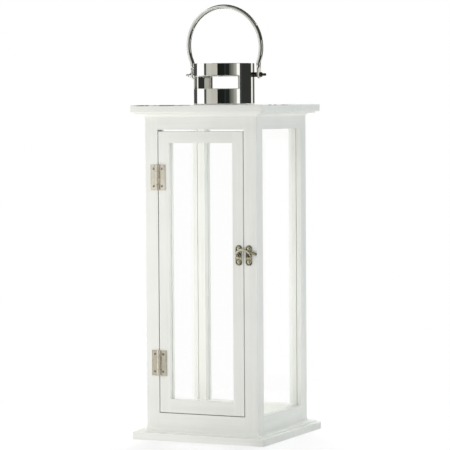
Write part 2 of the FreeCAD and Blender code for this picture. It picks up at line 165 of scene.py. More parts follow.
def between(tree, value, low, high, soft):  # 1 from low to high, 0 beyond, with soft ends
    rising = remap(tree, value, low - soft, low + soft, 0.0, 1.0)
    return multiply(tree, rising, remap(tree, value, high - soft, high + soft, 1.0, 0.0))


def bodyPlace(tree):  # X, Y and Z in the lantern's own frame
    place = addNode(tree, "ShaderNodeSeparateXYZ", {"Vector": objectCoords(tree)}).outputs
    return place["X"], place["Y"], place["Z"]


# studio: white floor, white surroundings and soft lamps
plainWhite = (1, 1, 1, 1)
floorSetup = {"size": 30.0, "near": 0.16, "far": 0.55, "nearWhite": 0.62, "mirrored": (0.62, 0.60, 0.54, 1),
              "fade": 0.1, "shadeReach": 0.018, "shadeTone": 0.72, "litReach": 0.13, "soft": 0.008,
              "finish": {"Base Color": (0.9, 0.9, 0.9, 1), "Roughness": 0.95, "Specular IOR Level": 0.1}}
worldSetup = {"ambient": 0.455}
lampSetup = {
    "keyLamp": {"azimuth": -53, "distance": 0.68, "height": 0.26, "wide": 0.3, "tall": 0.5, "power": 2.16,
                "aim": 0.26, "colour": (1.0, 0.99, 0.96)},
    "topLamp": {"azimuth": 20, "distance": 1.4, "height": 3.4, "wide": 1.6, "tall": 1.6, "power": 15.0,
                "aim": 0.1, "colour": (0.98, 1.0, 1.0)},
    "fillLamp": {"azimuth": 85, "distance": 1.4, "height": 0.6, "wide": 0.8, "tall": 0.36, "power": 4.3,
                 "aim": 0.1, "colour": (0.85, 0.96, 1.0)},
    "backLamp": {"azimuth": 195, "distance": 1.0, "height": 2.1, "wide": 0.8, "tall": 0.8, "power": 32.0,
                 "aim": 0.26, "colour": (1.0, 1.0, 0.99)},
    "innerLamp": {"azimuth": 45, "distance": 0.07, "height": 0.24, "wide": 0.02, "tall": 0.38,
                  "power": 0.145, "aim": 0.24, "colour": (1.0, 1.0, 0.98)},
}


def whiteShare(tree, setup, path, white):  # how far the floor shows as plain white
    away = addNode(tree, "ShaderNodeVectorMath", {0: objectCoords(tree)}, operation="LENGTH")
    share = remap(tree, away.outputs["Value"], setup["near"], setup["far"], setup["nearWhite"], 1.0)
    seen = calc(tree, "MAXIMUM", path["Is Camera Ray"], path["Is Transmission Ray"])
    across, edge, soft = bodyPlace(tree)[0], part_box("base_board")[1].x, setup["soft"]
    shadeEnd = edge + setup["shadeReach"]
    # close by the base's right edge the floor throws less light back
    shaded = between(tree, across, edge - setup["shadeReach"], shadeEnd, soft)
    shaded = multiply(tree, shaded, path["Is Diffuse Ray"])
    setInputs(tree, white, {"Strength": remap(tree, shaded, 0.0, 1.0, 1.0, setup["shadeTone"])})
    # a strip beyond it is lit by the lamps alone
    strip = between(tree, across, shadeEnd, edge + setup["litReach"], soft)
    bounced = multiply(tree, path["Is Diffuse Ray"], remap(tree, strip, 0.0, 1.0, 1.0, 0.0))
    return calc(tree, "MAXIMUM", multiply(tree, share, seen), bounced)


def makeFloor(setup):
    mesh = bmesh.new()
    bmesh.ops.create_grid(mesh, x_segments=1, y_segments=1, size=setup["size"] / 2)
    floor = meshObject(mesh, "floor")
    material, tree, shader = newMaterial("whiteFloor")
    setInputs(tree, shader, setup["finish"])
    path = addNode(tree, "ShaderNodeLightPath", {}).outputs
    white = addNode(tree, "ShaderNodeEmission", {"Color": plainWhite})
    glowing = whiteShare(tree, setup, path, white)
    lit = blendShaders(tree, glowing, shader.outputs["BSDF"], white.outputs["Emission"])
    # polished metal sees a duller floor in front of the lantern
    behind = remap(tree, bodyPlace(tree)[1], -setup["fade"], setup["fade"], 0.0, 1.0)
    tone = blendColours(tree, behind, setup["mirrored"], plainWhite)
    warm = addNode(tree, "ShaderNodeEmission", {"Color": tone, "Strength": 1.0})
    mirrored = calc(tree, "GREATER_THAN", path["Is Glossy Ray"], path["Is Transmission Ray"])
    showSurface(tree, blendShaders(tree, mirrored, lit, warm.outputs["Emission"]))
    floor.data.materials.append(material)


def makeWorld(setup):
    world = bpy.data.worlds.new("studio")
    scene.world = world
    world.use_nodes = True
    tree = world.node_tree
    path = addNode(tree, "ShaderNodeLightPath", {}).outputs
    ambient = remap(tree, path["Is Diffuse Ray"], 0, 1, 1.0, setup["ambient"])
    setInputs(tree, tree.nodes["Background"], {"Color": plainWhite, "Strength": ambient})


def makeLamp(name, setup):
    data = bpy.data.lights.new(name, "AREA")
    data.shape = "RECTANGLE"
    data.size, data.size_y = setup["wide"], setup["tall"]
    data.energy = setup["power"]
    data.color = setup["colour"]
    lamp = placeObject(name, data)
    place = towards(setup["azimuth"]) * setup["distance"] + upBy(setup["height"])
    lamp.location = place
    lamp.rotation_euler = (upBy(setup["aim"]) - place).to_track_quat("-Z", "Y").to_euler()
    hideFrom(lamp, "camera", "glossy", "transmission")  # metal shows the panels instead


makeFloor(floorSetup)
makeWorld(worldSetup)
for lampName, lampValues in lampSetup.items():
    makeLamp(lampName, lampValues)

# panels round the studio, seen only as reflections: azimuths in degrees, then tone
panelSetup = {"radius": 1.7, "low": -0.02, "high": 1.3}
panelSpans = [(-140, -99, (0.068, 0.072, 0.07)), (-99, -56.6, (1.2, 1.21, 1.19)),
              (-56.6, -45.8, (0.085, 0.088, 0.08)), (-45.8, -25, (0.62, 0.61, 0.56)),
              (-25, -0.3, (0.58, 0.56, 0.50)), (-0.3, 26, (0.013, 0.015, 0.013)),
              (26, 31, (0.03, 0.034, 0.034)), (31, 44.8, (0.017, 0.02, 0.017)),
              (44.8, 51, (0.11, 0.12, 0.1)), (51, 57, (0.18, 0.19, 0.165)), (57, 62, (0.26, 0.265, 0.235)),
              (62, 68, (0.37, 0.375, 0.34)), (68, 73.5, (0.46, 0.465, 0.43)), (73.5, 86.3, (1.15, 1.15, 1.1)),
              (86.3, 95, (0.058, 0.06, 0.058)), (95, 149.3, (0.035, 0.037, 0.034)),
              (149.3, 164, (1.0, 1.0, 0.96)), (164, 220, (0.115, 0.115, 0.11))]
sideSetup = {"radius": 1.66, "low": 0.8, "high": 1.92}
sideSpans = [(-24, -8, (0.2, 0.2, 0.18)), (-8, 150, (0.05, 0.05, 0.045))]
ceilingPanel = {"radius": 1.5, "height": 1.9, "sides": 48, "tone": (0.06, 0.06, 0.05)}
floorPanels = {"rightFloor": {"from": 0.16, "to": 1.6, "height": 0.002, "start": 30, "end": 108,
                              "tone": (0.04, 0.04, 0.035)},
               "frontFloor": {"from": 0.85, "to": 1.68, "height": 0.002, "start": 4, "end": 30,
                              "tone": (0.05, 0.05, 0.045)}}
panelStep = 3  # degrees of turn for each face of a swept panel


def addPanel(mesh, name, tone):
    panel = meshObject(mesh, name)
    material, tree, _ = newMaterial(name)
    glow = addNode(tree, "ShaderNodeEmission", {"Color": (*tone, 1), "Strength": 1.0})
    showSurface(tree, glow.outputs["Emission"])
    panel.data.materials.append(material)
    hideFrom(panel, "camera", "diffuse", "transmission", "shadow")


def sweptPanel(name, ends, degrees, tone):  # an edge, turned round the lantern
    mesh = bmesh.new()
    verts = [mesh.verts.new(end) for end in ends]
    edge = mesh.edges.new(verts)
    bmesh.ops.spin(mesh, geom=verts + [edge], cent=(0, 0, 0), axis=(0, 0, 1), dvec=(0, 0, 0),
                   angle=math.radians(degrees), steps=math.ceil(degrees / panelStep), use_merge=False)
    addPanel(mesh, name, tone)


def makePanels(name, setup, spans):
    for index, (start, end, tone) in enumerate(spans):
        foot = towards(start) * setup["radius"]
        ends = [foot + upBy(level) for level in (setup["low"], setup["high"])]
        sweptPanel(f"{name}{index}", ends, end - start, tone)


def makeFloorPanel(name, setup):
    ends = [towards(setup["start"]) * away + upBy(setup["height"]) for away in (setup["from"], setup["to"])]
    sweptPanel(name, ends, setup["end"] - setup["start"], setup["tone"])


def makeCeiling(setup):
    mesh = bmesh.new()
    verts = bmesh.ops.create_circle(mesh, cap_ends=True, segments=setup["sides"],
                                    radius=setup["radius"])["verts"]
    bmesh.ops.translate(mesh, verts=verts, vec=upBy(setup["height"]))
    addPanel(mesh, "ceilingPanel", setup["tone"])


makePanels("panel", panelSetup, panelSpans)
makePanels("sidePanel", sideSetup, sideSpans)
for panelName, panelLook in floorPanels.items():
    makeFloorPanel(panelName, panelLook)
makeCeiling(ceilingPanel)
print("studio built")

# finishes: a noise is scale, detail, roughness and distortion; a tone maps two values to two others
# the paint's dark colour in hollows stands for dust and painted shade together
paintLook = {"light": (0.83, 0.835, 0.798, 1), "dark": (0.80, 0.805, 0.765, 1), "specular": 0.4,
             "streaks": (1.0, 6.0, 0.62, 0.4), "streakTone": (0.3, 0.7, 0.953, 1.023),
             "clouds": (11.0, 3.0, 0.55), "cloudTone": (0.35, 0.65, 0.0, 1.0),
             "gloss": (0.3, 0.7, 0.40, 0.54), "peel": (620.0, 2.0, 0.5), "peelShare": 0.25,
             "bump": (0.16, 0.0006), "hollowDustShade": (0.62, 0.59, 0.53, 1), "hollowShadeReach": 0.004,
             "hollowShadeTone": (0.6, 0.2, 0.0, 0.05), "hollowShadeSamples": 6}
wearLook = {"colour": (0.07, 0.05, 0.035, 1), "width": 0.002, "patches": (55.0, 4.0, 0.65),
            "frontRun": (-0.098, -0.01, 0.004), "frontTone": (0.42, 0.66, 0.25, 1.0),
            "chips": ((-0.047, 0.010), (-0.089, 0.004)), "chipSoft": 0.003, "chipGain": 0.35,
            "rightRun": (-0.082, -0.008, 0.006), "rightTone": (0.44, 0.56, 0.0, 0.8)}


def roofWear(tree, look):  # how far the roof's top edges are rubbed through
    x, y, z = bodyPlace(tree)
    high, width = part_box("roof_board")[1], look["width"]
    full = width / 3
    top = remap(tree, z, high.z - width, high.z - full, 0.0, 1.0)
    frontEdge = remap(tree, y, width - high.y, full - high.y, 0.0, 1.0)
    rightEdge = remap(tree, x, high.x - width, high.x - full, 0.0, 1.0)
    patches = noiseAt(tree, objectCoords(tree), *look["patches"])
    chipped = patches
    for place, half in look["chips"]:
        chip = between(tree, x, place - half, place + half, look["chipSoft"])
        chipped = calc(tree, "ADD", chipped, multiply(tree, chip, look["chipGain"]))
    frontRun = between(tree, x, *look["frontRun"])
    frontWorn = multiply(tree, frontRun, remap(tree, chipped, *look["frontTone"]), frontEdge)
    rightRun = between(tree, y, *look["rightRun"])
    rightWorn = multiply(tree, rightRun, remap(tree, patches, *look["rightTone"]), rightEdge)
    return multiply(tree, top, calc(tree, "MAXIMUM", frontWorn, rightWorn))


def makePaint(name, look, grain, worn):
    material, tree, shader = newMaterial(name)
    plain = objectCoords(tree)
    streaks = noiseAt(tree, objectCoords(tree, grain), *look["streaks"])
    clouds = noiseAt(tree, plain, *look["clouds"])
    peel = noiseAt(tree, plain, *look["peel"])
    colour = blendColours(tree, remap(tree, clouds, *look["cloudTone"]), look["light"], look["dark"])
    tone = remap(tree, streaks, *look["streakTone"])
    shade = addNode(tree, "ShaderNodeCombineColor", {"Red": tone, "Green": tone, "Blue": tone})
    colour = blendColours(tree, 1.0, colour, shade.outputs["Color"], "MULTIPLY")
    # dust and painted shade: ambient occlusion darkens the paint in hollows and crevices
    hollow = addNode(tree, "ShaderNodeAmbientOcclusion", {"Distance": look["hollowShadeReach"]},
                     samples=look["hollowShadeSamples"])
    colour = blendColours(tree, remap(tree, hollow.outputs["AO"], *look["hollowShadeTone"]), colour, look["hollowDustShade"])
    if worn:
        colour = blendColours(tree, roofWear(tree, wearLook), colour, wearLook["colour"])
    setInputs(tree, shader, {"Base Color": colour, "Roughness": remap(tree, clouds, *look["gloss"]),
                             "Specular IOR Level": look["specular"]})
    bumpFrom(tree, shader, calc(tree, "ADD", streaks, multiply(tree, peel, look["peelShare"])), *look["bump"])
    return material


glassLook = {"finish": {"Base Color": (0.998, 1.0, 0.999, 1), "Transmission Weight": 1.0, "IOR": 1.45,
                        "Specular IOR Level": 0.015},
             "stretch": (9, 9, 4), "smears": (1.0, 4.0, 0.6), "gloss": (0.45, 0.75, 0.0, 0.01),
             "waves": (1.6, 1.0), "bump": (0.015, 0.0015), "clear": (0.98, 0.985, 0.982, 1)}


def makeGlass(look):
    material, tree, shader = newMaterial("windowGlass")
    setInputs(tree, shader, look["finish"])
    place = objectCoords(tree, look["stretch"])
    smears = noiseAt(tree, place, *look["smears"])
    setInputs(tree, shader, {"Roughness": remap(tree, smears, *look["gloss"])})
    bumpFrom(tree, shader, noiseAt(tree, place, *look["waves"]), *look["bump"])
    clear = addNode(tree, "ShaderNodeBsdfTransparent", {"Color": look["clear"]})
    path = addNode(tree, "ShaderNodeLightPath", {}).outputs
    passing = calc(tree, "MAXIMUM", path["Is Shadow Ray"], path["Is Diffuse Ray"])
    showSurface(tree, blendShaders(tree, passing, shader.outputs["BSDF"], clear.outputs["BSDF"]))
    return material


woodLook = {"rings": {"Scale": 90.0, "Distortion": 4.0, "Detail": 3.0}, "stretch": (1, 1, 0.15),
            "light": (0.55, 0.39, 0.22, 1), "dark": (0.40, 0.26, 0.13, 1), "gloss": (0, 1, 0.55, 0.7),
            "bump": (0.1, 0.0003)}


def makeWood(look):
    material, tree, shader = newMaterial("bareWood")
    values = {"Vector": objectCoords(tree, look["stretch"]), **look["rings"]}
    grain = addNode(tree, "ShaderNodeTexWave", values, bands_direction="Y").outputs["Fac"]
    setInputs(tree, shader, {"Base Color": blendColours(tree, grain, look["light"], look["dark"]),
                             "Roughness": remap(tree, grain, *look["gloss"])})
    bumpFrom(tree, shader, grain, *look["bump"])
    return material


# metals: what they share, then what each kind of piece shares, then each finish
metalSkin = {"clouds": (4.0, 0.6), "cloudTone": (0.4, 0.66, 0.0, 1.0), "rubNoise": (1.0, 5.0, 0.65),
             "rubRange": (0.3, 0.75), "rubShare": 0.05, "waveDetail": 1.0, "bumpDeep": 0.001}
tabSkin = {"rubs": (200, 200, 200), "tarnish": 90.0, "waves": 60.0, "waviness": 0.4, "bump": 0.03}
hingeSkin = {"metallic": 0.7, "gloss": (0.16, 0.30), "rubs": (500, 500, 60), "tarnish": 150.0, "waves": 60.0,
             "waviness": 0.5, "bump": 0.05}
latchSkin = {"rubs": (300, 300, 300), "waves": 160.0, "waviness": 0.5, "bump": 0.08}
metalLooks = {
    "chrome": {"light": (0.87, 0.87, 0.855, 1), "dark": (0.83, 0.83, 0.81, 1), "gloss": (0.015, 0.05),
               "rubs": (40, 40, 500), "tarnish": 30.0, "waves": 22.0, "waviness": 1.0, "bump": 0.025},
    "innerSteel": {"light": (0.80, 0.80, 0.77, 1), "dark": (0.74, 0.74, 0.70, 1), "gloss": (0.03, 0.09),
                   "rubs": (60, 60, 900), "tarnish": 60.0, "waves": 22.0, "waviness": 0.8, "bump": 0.02},
    # two copies of the tab steel: a painted-light one for the left tab and a painted-shade one for the right
    "litSatinSteel": {**tabSkin, "light": (0.98, 0.98, 0.97, 1), "dark": (0.95, 0.95, 0.94, 1),
                   "gloss": (0.50, 0.62)},
    "shadedSteel": {**tabSkin, "light": (0.66, 0.65, 0.62, 1), "dark": (0.58, 0.57, 0.54, 1),
                  "gloss": (0.10, 0.18)},
    "nickel": {**hingeSkin, "light": (0.95, 0.92, 0.83, 1), "dark": (0.87, 0.83, 0.72, 1)},
    "darkerNickel": {**hingeSkin, "light": (0.74, 0.70, 0.61, 1), "dark": (0.62, 0.58, 0.48, 1)},
    "dimNickel": {**hingeSkin, "metallic": 0.5, "light": (0.84, 0.78, 0.66, 1),
                  "dark": (0.70, 0.64, 0.53, 1), "gloss": (0.26, 0.40), "tarnish": 220.0},
    "brightNickel": {**latchSkin, "light": (0.90, 0.87, 0.77, 1), "dark": (0.78, 0.73, 0.60, 1),
                     "gloss": (0.08, 0.18), "tarnish": 240.0},
    "oliveNickel": {**latchSkin, "light": (0.74, 0.71, 0.58, 1), "dark": (0.48, 0.46, 0.35, 1),
                    "gloss": (0.10, 0.22), "tarnish": 260.0},
    # dark nickel: patina, and painted shade on the rivet, stud and rims under and beside the hook
    "patinaShadeNickel": {**latchSkin, "light": (0.53, 0.51, 0.37, 1), "dark": (0.25, 0.235, 0.145, 1),
                   "gloss": (0.14, 0.30), "tarnish": 300.0},
    "screwSteel": {"light": (0.08, 0.07, 0.055, 1), "dark": (0.03, 0.027, 0.024, 1), "gloss": (0.30, 0.46),
                   "rubs": (500, 500, 500), "tarnish": 400.0, "waves": 90.0, "waviness": 0.5, "bump": 0.06},
}


def makeMetal(name, look, skin):
    material, tree, shader = newMaterial(name)
    plain = objectCoords(tree)
    clouds = noiseAt(tree, plain, look["tarnish"], *skin["clouds"])
    colour = blendColours(tree, remap(tree, clouds, *skin["cloudTone"]), look["light"], look["dark"])
    rubs = noiseAt(tree, objectCoords(tree, look["rubs"]), *skin["rubNoise"])
    setInputs(tree, shader, {"Base Color": colour, "Metallic": look.get("metallic", 1.0),
                             "Roughness": remap(tree, rubs, *skin["rubRange"], *look["gloss"])})
    waves = multiply(tree, noiseAt(tree, plain, look["waves"], skin["waveDetail"]), look["waviness"])
    height = calc(tree, "ADD", waves, multiply(tree, rubs, skin["rubShare"]))
    bumpFrom(tree, shader, height, look["bump"], skin["bumpDeep"])
    return material


grains = {"upright": (130, 130, 5), "across": (5, 130, 130), "deep": (130, 5, 130), "roof": (5, 130, 130)}
paints = {run: makePaint(f"paint{run.title()}", paintLook, grain, run == "roof")
          for run, grain in grains.items()}
windowGlass = makeGlass(glassLook)
bareWood = makeWood(woodLook)
metals = {name: makeMetal(name, look, metalSkin) for name, look in metalLooks.items()}
print("finishes made")

# CAD nodes that stay, by the way their grain runs
trims = ("top_rail", "bottom_rail", "base_moulding", "roof_moulding")
sticks = {"upright": ["post_front_right", "post_back_right", "post_back_left", "post_front_left",
                      "door_stile_hinge", "door_stile_latch"],
          "across": [f"{trim}_{side}" for trim in trims for side in ("front", "back")]
          + ["door_rail_top", "door_rail_bottom", "base_board"],
          "deep": [f"{trim}_{side}" for trim in trims for side in ("right", "left")],
          "roof": ["roof_board"]}


def coat(names, material):
    for name in names:
        mesh = nodes[name].data
        mesh.materials.clear()
        mesh.materials.append(material)


for run, names in sticks.items():
    coat(names, paints[run])
coat(("glass_right", "glass_back", "glass_left", "door_glass"), windowGlass)
coat(("rail_dowels", "roof_dowels", "door_dowels"), bareWood)
coat(("base_screws", "chimney_screws"), metals["screwSteel"])
print("CAD nodes coated")

# mesh helpers
upwards, forwards = (0, 0, 1), (0, -1, 0)
tiny = 1e-6  # metres
cornerShare = 0.3  # a rounded corner's middle point, as a share of its radius


def addPiece(mesh, name, materials, body, replaced, sharp=38):
    bmesh.ops.remove_doubles(mesh, verts=mesh.verts[:], dist=tiny)
    bmesh.ops.recalc_face_normals(mesh, faces=mesh.faces[:])
    piece = meshObject(mesh, name)
    piece.data.shade_smooth()
    piece.data.set_sharp_from_angle(angle=math.radians(sharp))
    for material in materials:
        piece.data.materials.append(metals[material])
    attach(piece, body)
    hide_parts(replaced)
    return piece


def vertsIn(items):
    return [item for item in items if isinstance(item, bmesh.types.BMVert)]


def edgesOf(verts):  # edges with both ends among the verts
    chosen = set(verts)
    near = {edge for vert in verts for edge in vert.link_edges}
    return [edge for edge in near if chosen.issuperset(edge.verts)]


def facesOf(verts):
    return list({face for vert in verts for face in vert.link_faces})


def finishNew(mesh, before):  # gives every face made since then the piece's second metal
    for face in mesh.faces:
        if face not in before:
            face.material_index = 1


def bevelEdges(mesh, edges, offset):
    return bmesh.ops.bevel(mesh, geom=edges, offset=offset, segments=2, affect="EDGES", profile=0.5,
                           material=-1)


def lathe(mesh, outline, centre, axis, steps, closed=False):  # outline: (radius, height along the axis)
    line = Vector(axis).normalized()
    side = line.orthogonal().normalized()
    before = set(mesh.faces)
    verts = [mesh.verts.new(Vector(centre) + side * radius + line * height) for radius, height in outline]
    edges = [mesh.edges.new(pair) for pair in zip(verts, verts[1:])]
    if closed:
        edges.append(mesh.edges.new((verts[-1], verts[0])))
    bmesh.ops.spin(mesh, geom=verts + edges, cent=centre, axis=line, dvec=(0, 0, 0), angle=2 * math.pi,
                   steps=steps, use_merge=True)
    return [face for face in mesh.faces if face not in before]


def block(mesh, low, high, rounding):
    verts = bmesh.ops.create_cube(mesh, size=1.0)["verts"]
    bmesh.ops.scale(mesh, verts=verts, vec=Vector(high) - Vector(low))
    bmesh.ops.translate(mesh, verts=verts, vec=(Vector(low) + Vector(high)) / 2)
    bevelEdges(mesh, edgesOf(verts), rounding)


def ringAt(mesh, centre, axis, radius, segments):
    verts = bmesh.ops.create_circle(mesh, segments=segments, radius=radius, cap_ends=False)["verts"]
    turn = Vector(upwards).rotation_difference(Vector(axis)).to_matrix()
    bmesh.ops.rotate(mesh, verts=verts, cent=(0, 0, 0), matrix=turn)
    bmesh.ops.translate(mesh, verts=verts, vec=centre)
    return verts


def sweepRing(mesh, ring, centre, axis, angle, steps):
    made = bmesh.ops.spin(mesh, geom=ring + edgesOf(ring), cent=centre, axis=axis, dvec=(0, 0, 0),
                          angle=angle, steps=steps, use_merge=False)
    return vertsIn(made["geom_last"])


def closeRings(mesh, *rings):
    for ring in rings:
        bmesh.ops.contextual_create(mesh, geom=edgesOf(ring))


def ball(mesh, centre, size, fine):
    verts = bmesh.ops.create_uvsphere(mesh, u_segments=fine, v_segments=fine // 2 + 2, radius=1.0)["verts"]
    bmesh.ops.scale(mesh, verts=verts, vec=size)
    bmesh.ops.translate(mesh, verts=verts, vec=centre)
    return verts


def middleOf(name):
    low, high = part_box(name)
    return (low + high) / 2


def halfOf(name):
    low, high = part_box(name)
    return (high - low) / 2


# chimney: a rolled tube with a lap seam, its foot turned in and its windows hemmed all round
chimneyLook = {"wall": 0.001, "windowLow": 0.0233, "windowHigh": 0.0428, "windowHalf": 52, "steps": 180,
               "flange": 0.008, "foot": 0.001, "footShare": 0.29, "rim": 0.00025, "rimAngle": 1.0,
               "hold": 0.0007, "upperHem": 0.0009, "lowerHem": 0.0005, "sideHem": 0.0011, "sideTurn": 1.8,
               "hemInset": 0.0003, "hemSides": 14, "hemSteps": 52, "seamAt": 138.7, "seamWide": 19.5,
               "seamThick": 0.0006, "seamShort": 0.002}


def outwardness(face):
    middle = face.calc_center_median()
    return face.normal.x * middle.x + face.normal.y * middle.y


def chimneyShell(mesh, look, radius, low, height):
    foot, hold, corner = look["foot"], look["hold"], look["foot"] * look["footShare"]
    outline = [(radius - look["flange"], 0.0), (radius - foot, 0.0), (radius - corner, corner)]
    levels = [foot, foot + hold, look["windowLow"] - hold, look["windowLow"], look["windowHigh"],
              look["windowHigh"] + hold, height - hold, height]
    outline += [(radius, level) for level in levels]
    lathe(mesh, outline, (0, 0, low), upwards, look["steps"])
    opening = []
    for face in mesh.faces:
        middle = face.calc_center_median()
        away = math.degrees(math.atan2(abs(middle.x), abs(middle.y)))
        if look["windowLow"] < middle.z - low < look["windowHigh"] and away < look["windowHalf"]:
            opening.append(face)
    bmesh.ops.delete(mesh, geom=opening, context="FACES")
    bmesh.ops.recalc_face_normals(mesh, faces=mesh.faces[:])
    if sum(outwardness(face) for face in mesh.faces) < 0:
        bmesh.ops.reverse_faces(mesh, faces=mesh.faces[:])
    bmesh.ops.solidify(mesh, geom=mesh.faces[:], thickness=look["wall"])
    rims = [edge for edge in mesh.edges if edge.calc_face_angle(0) > look["rimAngle"]]
    bevelEdges(mesh, rims, look["rim"])


def windowHems(mesh, look, radius, low):
    half = math.radians(look["windowHalf"])
    aside = half + math.radians(look["sideTurn"])
    wide, tall = look["sideHem"], look["windowHigh"] - look["windowLow"]
    for front in (-math.pi / 2, math.pi / 2):
        for level, size in ((look["windowLow"], look["lowerHem"]), (look["windowHigh"], look["upperHem"])):
            start = Vector((math.cos(front - half), math.sin(front - half), 0))
            place = start * (radius - look["hemInset"]) + upBy(low + level)
            ring = ringAt(mesh, place, start.cross(upwards), size, look["hemSides"])
            last = sweepRing(mesh, ring, (0, 0, 0), upwards, 2 * half, look["hemSteps"])
            closeRings(mesh, ring, last)
        for turn in (front - aside, front + aside):
            place = Vector((math.cos(turn), math.sin(turn), 0)) * (radius - look["hemInset"])
            lathe(mesh, [(0, 0), (wide, 0), (wide, tall), (0, tall)], place + upBy(low + look["windowLow"]),
                  upwards, look["hemSides"])


def lapSeam(mesh, look, radius, low, high):  # a flat strip inside, along the back window's edge
    start = math.radians(look["seamAt"])
    along = Vector((math.cos(start), math.sin(start), 0))
    near, far = radius - look["wall"] - look["seamThick"], radius - look["wall"]
    bottom, top = low + look["seamShort"], high - look["seamShort"]
    before = set(mesh.faces)
    corners = [(near, bottom), (far, bottom), (far, top), (near, top)]
    verts = [mesh.verts.new(along * out + upBy(level)) for out, level in corners]
    first = mesh.faces.new(verts)
    bmesh.ops.spin(mesh, geom=[first, *first.edges, *verts], cent=(0, 0, 0), axis=upwards, dvec=(0, 0, 0),
                   angle=math.radians(look["seamWide"]), steps=1, use_merge=False)
    finishNew(mesh, before)


def makeChimney(look):
    low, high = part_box("chimney_tube")
    radius = halfOf("chimney_tube").x
    mesh = bmesh.new()
    chimneyShell(mesh, look, radius, low.z, high.z - low.z)
    bmesh.ops.recalc_face_normals(mesh, faces=mesh.faces[:])
    for face in mesh.faces:
        face.material_index = 1 if outwardness(face) < 0 else 0  # the inside is less polished
    windowHems(mesh, look, radius, low.z)
    lapSeam(mesh, look, radius, low.z, high.z)
    bmesh.ops.translate(mesh, verts=mesh.verts[:], vec=(middleOf("chimney_tube").x, 0, 0))
    addPiece(mesh, "chimneyTube", ["chrome", "innerSteel"], "frame", "chimney_tube")


capLook = {"crown": 0.0006, "crownAt": (0.5, 0.15), "brim": 0.0024, "wall": 0.001, "skirt": 0.006,
           "edge": 0.0006, "steps": 120}


def makeCap(look):
    radius, edge, wall, fall = halfOf("chimney_cap").x, look["edge"], look["wall"], -look["crown"]
    out, down = look["crownAt"]  # shares of the radius and of the fall
    corner = edge * cornerShare
    outline = [(0, 0), (radius * out, fall * down), (radius - look["brim"], fall), (radius - edge, fall),
               (radius - corner, fall - corner), (radius, fall - edge), (radius, -look["skirt"]),
               (radius - wall, -look["skirt"]), (radius - wall, fall - wall), (0, -wall)]
    mesh = bmesh.new()
    top = (middleOf("chimney_cap").x, 0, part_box("chimney_cap")[1].z)
    lathe(mesh, outline, top, upwards, look["steps"])
    addPiece(mesh, "chimneyCap", ["chrome"], "frame", "chimney_cap")


makeChimney(chimneyLook)
makeCap(capLook)
print("chimney built")

# bail: round rod bent to an arch, its ends flattened to tabs
bailLook = {"rod": 0.0033, "arch": 0.059, "rise": 0.0422, "bend": 0.015, "tabMiddle": 0.054,
            "tabHalf": 0.001, "tabWide": 0.006, "tip": (0.7, 0.06), "flare": 0.008, "sides": 40,
            "archSteps": 90, "bendSteps": 14, "flareSteps": 10, "endSteps": 10, "squareness": 0.15,
            "lean": 4.2}
pivotLevel = middleOf("bail_nuts").z


def tabSections(look, level):  # level, half thickness, half width and the section's exponent, going down
    sections = []
    half, wide, square = look["tabHalf"], look["tabWide"], look["squareness"]
    for step in range(1, look["flareSteps"] + 1):
        part = step / look["flareSteps"]
        ease = part * part * (3 - 2 * part)  # slow at both ends
        sections.append((level - look["flare"] * part, look["rod"] + (half - look["rod"]) * ease,
                         look["rod"] + (wide - look["rod"]) * ease, 1 - (1 - square) * ease))
    for step in range(look["endSteps"]):
        angle = math.pi / 2 * step / look["endSteps"]
        sections.append((pivotLevel - wide * math.sin(angle), half, wide * math.cos(angle), square))
    sections.append((pivotLevel - wide, half * look["tip"][0], wide * look["tip"][1], 1.0))
    return sections


def nextRing(mesh, ring):  # extrudes the ring, and keeps its order
    fresh = set(vertsIn(bmesh.ops.extrude_edge_only(mesh, edges=edgesOf(ring))["geom"]))
    return [next(edge.other_vert(vert) for edge in vert.link_edges if edge.other_vert(vert) in fresh)
            for vert in ring]


def power(value, exponent):
    return math.copysign(abs(value) ** exponent, value)


def makeBail(look):
    mesh = bmesh.new()
    rod, tab = look["rod"], look["tabMiddle"]
    centre = pivotLevel + look["rise"]
    reach = look["arch"] + look["bend"]
    turn = math.acos((tab + look["bend"]) / reach)
    ring = ringAt(mesh, (0, 0, centre + look["arch"]), (1, 0, 0), rod, look["sides"])
    ring = sweepRing(mesh, ring, (0, 0, centre), (0, 1, 0), math.pi / 2 + turn, look["archSteps"])
    bendCentre = (tab + look["bend"], 0, centre - reach * math.sin(turn))
    ring = sweepRing(mesh, ring, bendCentre, (0, 1, 0), -turn, look["bendSteps"])
    unit = [((vert.co.x - tab) / rod, vert.co.y / rod) for vert in ring]
    for level, thick, wide, exponent in tabSections(look, bendCentre[2]):
        ring = nextRing(mesh, ring)
        for vert, (across, along) in zip(ring, unit):
            vert.co = (tab + thick * power(across, exponent), wide * power(along, exponent), level)
    closeRings(mesh, ring)
    bmesh.ops.mirror(mesh, geom=mesh.verts[:] + mesh.edges[:] + mesh.faces[:], axis="X",
                     matrix=Matrix.Identity(4), merge_dist=tiny)
    bmesh.ops.rotate(mesh, verts=mesh.verts[:], cent=(0, 0, pivotLevel),
                     matrix=Matrix.Rotation(math.radians(look["lean"]), 3, "X"))
    for face in mesh.faces:  # the tabs have painted light on the left and painted shade on the right
        middle = face.calc_center_median()
        if middle.z < bendCentre[2] - look["flare"] / 2:
            face.material_index = 1 if middle.x < 0 else 2
    made = addPiece(mesh, "bailRod", ["chrome", "litSatinSteel", "shadedSteel"], "bail", "bail")
    hideFrom(made, "glossy")  # the photograph's chimney doesn't mirror it


makeBail(bailLook)

